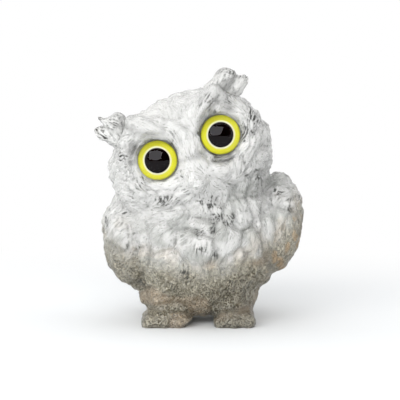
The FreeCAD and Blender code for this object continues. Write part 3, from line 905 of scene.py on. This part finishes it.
marks = dict(  # noise: seed, size and band
    touching=(2, 1.2),  # the skin shows a pebble from this near
    crease=(0.4, 0), chosen=(53, 5, 0.42, 0.6),
    cluster=(51, 3.4, 0.6, 0.7), within=(52, 1.5, 0.35, 0.5), smokyCluster=0.6,
    busy=(54, 3.2, 0.35, 0.62), busyAmount=0.45, tuftAmount=0.3,
    hollow=(0.75, 1.6), hollowAmount=0.6, foreheadCalm=0.55, least=-0.45,
    cream=(41, 3.1, 0.45, 0.7), creamAmount=0.8, creamLine=(-7, -1), tipAmount=0.5,
)
resinLook = dict(
    surface=dict(Roughness=0.14, IOR=1.5, Specular_IOR_Level=0.3, Transmission_Weight=0.65),
    barbs=(0.34, 0.9, 7), locks=(0.95, 1.8, 5),  # width, half length and samples
    grit=0.42, coarse=1.3, cloud=5,  # sizes
    base=(0.985, 0.985, 0.965), smoke=((0.15, 0.125, 0.075), (0.97, 0.92, 0.75)),
    # amounts and colours of what lies over them; the lock, crease, shade and line colours are painted
    # shade
    lock=(0.3, (0.73, 0.73, 0.7)), cloudy=(0.95, (0.68, 0.69, 0.66)),
    crease=(0.75, (0.3, 0.3, 0.28)), cream=(1, (0.93, 0.87, 0.78)),
    tan=(0.5, (0.72, 0.55, 0.39)), sandy=(0.4, (0.86, 0.81, 0.68)),
    pale=(0.35, (0.82, 0.79, 0.69)), rust=(1, (0.74, 0.56, 0.36)),
    shade=(0.8, (0.1, 0.1, 0.09)), line=(1, (0.03, 0.03, 0.025)),
    lines=0.42, patchLines=0.55, patchWidth=0.05,
    relief=(1, 0.35), plainRelief=1.4, gritRelief=1.2,
)


def resinMaterial():
    recipe, look = newRecipe("clearAndSmokyResin"), resinLook
    smoke, patch = recipe.attribute("low"), recipe.attribute("patch")
    barbs, locks = recipe.drawn("flow", *look["barbs"]), recipe.drawn("flow", *look["locks"])
    grit, coarse = recipe.noise(look["grit"], 1.5, 0.6), recipe.noise(look["coarse"], 2)
    cloudy = recipe.band(recipe.noise(look["cloud"], 1), 0.42, 0.62) * recipe.attribute("body")

    def stored(*names):
        return [(recipe.attribute(name), look[name]) for name in names]

    # the lock grey is painted shade in the grooves of the coarser strokes' bump
    white = recipe.coats(look["base"], (recipe.band(locks, 0.45, 0.36), look["lock"]),
                         (cloudy, look["cloudy"]), *stored("crease", "cream"))
    dark = recipe.blend(recipe.band(grit, 0.4, 0.62), *look["smoke"])
    dark = recipe.coats(dark, *stored("tan"), (recipe.band(coarse, 0.45, 0.7), look["sandy"]),
                        *stored("pale"))
    # dark lines painted along the grooves of the fine strokes' bump: painted shade
    line = recipe.band(barbs - patch * patch * look["patchWidth"], 0.455, 0.42)
    line = line * (look["lines"] + patch * look["patchLines"])
    tint = recipe.blend(smoke, white, dark)
    # rust is the resin's own colour; the shade coat and the dark lines are painted shade
    tint = recipe.coats(tint, *stored("rust", "shade"), (line, look["line"]))
    relief = barbs * (look["plainRelief"] - smoke) + locks + grit * smoke * look["gritRelief"]
    relief = recipe.bump(relief, *look["relief"])
    return recipe.finish(Base_Color=tint, Normal=relief, **look["surface"])


def markResin(clay):  # painted shade in the creases between pebbles, patches where the painted dark lines are stronger, and cream
    shells, faces = stacked(pebbleShells, pebbleFaces)
    pebbleTree = BVHTree.FromPolygons(shells.tolist(), faces.tolist())
    emptiness = np.array([pebbleTree.find_nearest(Vector(spot))[3] for spot in clay.corners])
    # painted shade in the creases, where the skin dips between pebbles
    crease = rise(*marks["crease"], clay.border)
    crease = crease * (clay.over * rise(*marks["touching"], emptiness))
    addAttribute(form, "crease", crease * spots(clay, *marks["chosen"]))
    # where the painted dark lines are stronger: away from pebbles, in random clusters and busy
    # patches, on the tufts, and less on the forehead
    cluster = spots(clay, *marks["cluster"]) * spots(clay, *marks["within"])
    cluster *= 1 - marks["smokyCluster"] * clay.smoky
    busy = marks["busyAmount"] * spots(clay, *marks["busy"]) + marks["tuftAmount"] * clay.tufts
    hollow = marks["hollowAmount"] * rise(*marks["hollow"], emptiness) * (1 - clay.smoky)
    patch = hollow + cluster + busy - marks["foreheadCalm"] * clay.forehead
    addAttribute(form, "patch", np.clip(patch, marks["least"], 1))
    cream = marks["creamAmount"] * spots(clay, *marks["cream"])
    cream = cream * rise(*marks["creamLine"], clay.pour)
    addAttribute(form, "cream", np.clip(cream + marks["tipAmount"] * clay.tips, 0, 1))


markResin(clay)
dress(form, resinMaterial())
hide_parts("upper_casting", "lower_casting")
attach(form, "root")
print("resin coloured")


# Crushed splinters in the smoky pour

grains = dict(
    radius=(0.42, 0.95), depth=(0.75, 3.4), most=3200, tries=30000, smoky=(0.1, 0.6),
    cell=2, closeness=0.8, reach=1.4, cover=0.15,
    chipShare=0.8, leastChip=0.3, uneven=(0.7, 1.25), stretch=(0.7, 1.15),
)
smokyNodes = [place + "_gravel" for place in (
    "belly", "hip", "tail", "left_wing", "right_wing", "left_foot", "right_foot")]


def scatterUnderSkin():  # spots close under the smoky skin
    form.data.calc_loop_triangles()
    triangles = np.empty(len(form.data.loop_triangles) * 3, dtype=np.int32)
    form.data.loop_triangles.foreach_get("vertices", triangles)
    triangles = triangles.reshape(-1, 3)
    smoky = clay.smoky[triangles].mean(1) > random.uniform(*grains["smoky"], len(triangles))
    triangles = triangles[smoky]
    a, b, c = (clay.corners[triangles[:, k]] for k in range(3))
    cross = np.cross(b - a, c - a)
    area = lengths(cross)
    pick = random.choice(len(triangles), grains["tries"], p=area / area.sum())
    depth = random.uniform(*grains["depth"], len(pick))
    return (a + b + c)[pick] / 3 - unit(cross[pick]) * depth[:, None]


def gridKey(spot):
    return tuple((spot // grains["cell"]).astype(int))


def keep(spot, radius):
    cells.setdefault(gridKey(spot), []).append(len(grainSpots))
    grainSpots.append(spot)
    grainRadii.append(radius)


def isFree(spot, radius):  # no other splinter is too close
    x, y, z = gridKey(spot)
    close = [k for dx in (-1, 0, 1) for dy in (-1, 0, 1) for dz in (-1, 0, 1)
             for k in cells.get((x + dx, y + dy, z + dz), [])]
    return all(np.linalg.norm(grainSpots[k] - spot) >= grains["closeness"] * (
        grainRadii[k] + radius) for k in close)


grainSpots, grainRadii, cells = [], [], {}
chipTree = KDTree(400)
for index, name in enumerate(smokyNodes):
    for middle, radius in chipsOf(name):  # the largest, where the casting holds them
        chipTree.insert(Vector(middle), index)
        room = min(depthOf(middle), middle[2]) - grains["cover"]
        radius = min(grains["chipShare"] * radius, room / grains["reach"])
        if radius > grains["leastChip"]:
            keep(middle, radius)
chipTree.balance()
print("large splinters", len(grainSpots))
for spot in scatterUnderSkin():
    radius = random.uniform(*grains["radius"])
    lowest = radius * grains["reach"] + grains["cover"]
    if spot[2] < lowest or depthOf(spot) < lowest or not isFree(spot, radius):
        continue
    keep(spot, radius)
    if len(grainSpots) >= grains["most"]:
        break
print("grains", len(grainSpots))
grainGroups = np.array([chipTree.find(Vector(spot))[1] for spot in grainSpots])


def grain(spot, radius, corners):  # a crushed splinter
    turn = np.linalg.qr(random.normal(size=(3, 3)))[0]
    turn *= np.sign(np.linalg.det(turn))
    uneven = corners * random.uniform(*grains["uneven"], (len(corners), 1))
    return spot + (uneven * random.uniform(*grains["stretch"], 3)) @ turn.T * radius


smokyLook = dict(
    tones=((0, (0.4, 0.34, 0.25)), (0.3, (0.65, 0.59, 0.48)),
           (0.7, (0.85, 0.8, 0.7)), (1, (0.97, 0.95, 0.9))),
    veilSize=0.8, veil=(0.4, (0.8, 0.76, 0.68)), roughness=0.22, fine=0.4, relief=(0.3, 0.08),
)


def smokyMaterial():
    recipe, look = newRecipe("smokyQuartz"), smokyLook
    shade = recipe.ramp(recipe.attribute("tone"), *look["tones"])
    veil = recipe.band(recipe.noise(look["veilSize"], 3), 0.4, 0.7)
    shade = recipe.coats(shade, (veil, look["veil"]))
    return recipe.stone(shade, look)


grainCorners, grainFaces = template(1)
smoky = smokyMaterial()
for index, name in enumerate(smokyNodes):
    members = np.flatnonzero(grainGroups == index)
    shapes = [grain(grainSpots[k], grainRadii[k], grainCorners) for k in members]
    gather(name, shapes, [grainFaces] * len(shapes), smoky)
print("grains shaped")


# Eyes

domeShape = dict(height=2.9, rimHeight=0.5, sunk=0.08, segments=96, rings=192, smoothAngle=40)
clearLooks = dict(  # size of the haze, its two colours, and the surface
    clearDome=(3, (0.985, 0.985, 0.98), (1, 1, 1),
               dict(Roughness=0, Specular_Tint=(0.46, 0.45, 0.48, 1))),
    clearGlue=(1, (0.95, 0.95, 0.93), (0.99, 0.99, 0.98), dict(Roughness=0.05)),
)
paints = dict(  # name, inner and outer colour, where they meet, and the painted brow shadow at the top
    iris=("IrisPaint", (0.97, 0.94, 0.05), (0.5, 0.49, 0.03), 3.8, 4.6, 0.7),
    halo=("HaloPaint", (0.95, 0.94, 0.72), (0.92, 0.9, 0.3), 2.65, 3, 0),
    pupil=("PupilPaint", (0.001, 0, 0), (0.003, 0.001, 0.001), 0, 2.5, 0),
    backing=("BackingPlastic", (0.2, 0.19, 0.11), (0.25, 0.24, 0.15), 3.5, 4.5, 0.7),
)
paintLook = dict(browShadow=(0.2, 4.2), streakSize=0.5, streak=0.3, roughness=0.5)


def toEye(eye, height):  # from the origin to the eye's axis
    axis, across = Vector(eye.axis), Vector(faceAcross)
    across = (across - axis * axis.dot(across)).normalized()
    turn = Matrix((across, axis.cross(across), axis)).transposed().to_4x4()
    return Matrix.Translation(Vector((eye.middle + eye.axis * height) * mm)) @ turn


def makeDome(side, eye):  # the cap of a ball on a straight rim
    height, rim = domeShape["height"], domeShape["rimHeight"]
    swell = height - rim
    ball = (eye.radius ** 2 + swell ** 2) / (2 * swell)
    bpy.ops.object.select_all(action="DESELECT")
    bpy.ops.mesh.primitive_uv_sphere_add(
        segments=domeShape["segments"], ring_count=domeShape["rings"], radius=ball * mm,
        location=(0, 0, (height - ball) * mm))
    dome = placed(bpy.context.object)
    dome.name = side + "Dome"
    bpy.ops.object.mode_set(mode="EDIT")
    bpy.ops.mesh.select_all(action="SELECT")
    bpy.ops.mesh.bisect(plane_co=(0, 0, rim * mm), plane_no=(0, 0, 1),
                        clear_inner=True, use_fill=False)
    bpy.ops.mesh.select_all(action="DESELECT")
    bpy.ops.mesh.select_non_manifold()
    bpy.ops.mesh.extrude_edges_move(TRANSFORM_OT_translate={
        "value": (0, 0, -(rim + domeShape["sunk"]) * mm)})
    bpy.ops.mesh.edge_face_add()
    bpy.ops.mesh.select_all(action="SELECT")
    bpy.ops.mesh.normals_make_consistent(inside=False)
    bpy.ops.object.mode_set(mode="OBJECT")
    dome.matrix_world = toEye(eye, eye.paint)
    placed(dome)
    bpy.ops.object.shade_smooth_by_angle(angle=math.radians(domeShape["smoothAngle"]))
    return dome


def clearMaterial(name):
    recipe = newRecipe(name)
    size, first, second, surface = clearLooks[name]
    tint = recipe.blend(recipe.noise(size, 2), first, second)
    return recipe.finish(Base_Color=tint, IOR=1.45, Transmission_Weight=1, **surface)


def paintMaterial(side, name, inner, outer, low, high, browShadow):  # by the distance from the eye's axis, with a painted brow shadow towards the top
    recipe, look = newRecipe(side + name), paintLook
    there = toEye(eyes[side], 0).inverted()
    local = recipe.node("ShaderNodeMapping", dict(vector_type="POINT"), {
        "Vector": recipe.place(), "Location": there.translation, "Rotation": there.to_euler()})
    x, y = recipe.split(local)[:2]
    reach = (x * x + y * y) ** 0.5 / mm
    streaked = reach + (recipe.noise(look["streakSize"], 2) - 0.5) * look["streak"]
    # painted shadow of the brow, darker towards the top
    shadowed = recipe.band(y, *(height * mm for height in look["browShadow"])) * browShadow
    tint = recipe.blend(recipe.band(streaked, low, high) + shadowed, inner, outer)
    return recipe.finish(Base_Color=tint, Roughness=look["roughness"], Specular_IOR_Level=0)


glass, glue = clearMaterial("clearDome"), clearMaterial("clearGlue")
for side, eye in eyes.items():
    dome = makeDome(side, eye)
    dress(dome, glass)
    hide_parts(side + "_eye_dome")
    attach(dome, "root")
    for part, paint in paints.items():
        dress(nodes[side + "_eye_" + part], paintMaterial(side, *paint))
    dress(nodes[side + "_eye_glue"], glue)
print("eyes set")


# The studio

studio = dict(
    floorSize=4, floorShade=(0.84, 0.855, 0.865), fade=(0.045, 0.14),
    level=0.86, topLight=0.25, sideLight=-0.1,
    flagHeight=(0.002, 0.85), flagWidth=0.9, flagDistance=0.62, velvet=(0.02, 0.02, 0.02),
    # azimuth and elevation in radians, and brightness
    window=(-0.85, 0.24, 0, 0.8, 3.2), windowDistance=0.55,
    elevation=6, distance=0.4, lens=149.3, aim=(0, 0, 0.0293),
)


def seen(recipe):  # by the camera, straight, mirrored or through glass
    path = recipe.node("ShaderNodeLightPath").socket.node.outputs
    return sum(Wire(recipe, path[f"Is {kind} Ray"]) for kind in ("Camera", "Glossy", "Transmission"))


def makeFloor():
    bpy.ops.object.select_all(action="DESELECT")
    bpy.ops.mesh.primitive_plane_add(size=studio["floorSize"])
    floor = bpy.context.object
    floor.name = "studioFloor"
    recipe = newRecipe("paleFloor")
    x, y = recipe.split(recipe.place())[:2]
    far = recipe.band((x * x + y * y) ** 0.5, *studio["fade"])
    card = recipe.node("ShaderNodeBsdfPrincipled", None, {
        "Base Color": (*studio["floorShade"], 1), "Roughness": 0.9, "Specular IOR Level": 0.1})
    glow = recipe.node("ShaderNodeEmission")
    mixed = recipe.node("ShaderNodeMixShader", None, {0: far * seen(recipe), 1: card, 2: glow})
    recipe.node("ShaderNodeOutputMaterial", None, {"Surface": mixed})
    dress(floor, recipe.owner)


def makeFlag():  # a black card behind the camera, which the glass eyes mirror
    low, high = studio["flagHeight"]
    width, away = studio["flagWidth"], studio["flagDistance"]
    corners = [(-width, -away, low), (width, -away, low), (width, -away, high), (-width, -away, high)]
    card = meshPiece("blackFlag", np.array(corners) / mm, np.array([[3, 2, 1, 0]]))
    recipe = newRecipe("blackVelvet")
    dress(card, recipe.finish(Base_Color=(*studio["velvet"], 1), Roughness=0.9,
                              Specular_IOR_Level=0))
    card.visible_camera = False


def makeWorld():  # a white tent, a little brighter above
    world = bpy.data.worlds.new("lightTent")
    bpy.context.scene.world = world
    recipe = Recipe(world)
    x, y, z = recipe.split(recipe.node("ShaderNodeTexCoord", output="Generated"))
    level = studio["level"] + x * x * studio["sideLight"] + z * studio["topLight"]
    tent, white = (recipe.node("ShaderNodeBackground", None, {
        "Color": (1, 1, 1, 1), "Strength": strength}) for strength in (level, 1))
    mixed = recipe.node("ShaderNodeMixShader", None, {0: seen(recipe), 1: tent, 2: white})
    recipe.node("ShaderNodeOutputWorld", None, {"Surface": mixed})


def hang(name, data, off):  # beside the middle, facing it
    holder = added(name, data)
    holder.location = Vector(studio["aim"]) + off
    holder.rotation_euler = off.to_track_quat("Z", "Y").to_euler()
    return holder


def makeWindow():  # a softbox
    left, right, bottom, top, strength = studio["window"]
    across, up = (left + right) / 2, (bottom + top) / 2
    way = Vector((math.sin(across) * math.cos(up), -math.cos(across) * math.cos(up), math.sin(up)))
    lamp = bpy.data.lights.new("softbox", "AREA")
    lamp.shape = "RECTANGLE"
    lamp.size, lamp.size_y = (2 * math.tan(angle / 2) * studio["windowDistance"]
                              for angle in (right - left, top - bottom))
    lamp.energy = strength * 4 * lamp.size * lamp.size_y
    hang("softbox", lamp, way * studio["windowDistance"]).visible_camera = False


def makeCamera():
    camera = bpy.data.cameras.new("camera")
    camera.lens = studio["lens"]
    tilt = math.radians(studio["elevation"])
    off = Vector((0, -math.cos(tilt), math.sin(tilt))) * studio["distance"]
    bpy.context.scene.camera = hang("camera", camera, off)


for make in (makeFloor, makeFlag, makeWorld, makeWindow, makeCamera):
    make()
bpy.context.scene.view_settings.view_transform = "Standard"
print("studio ready")
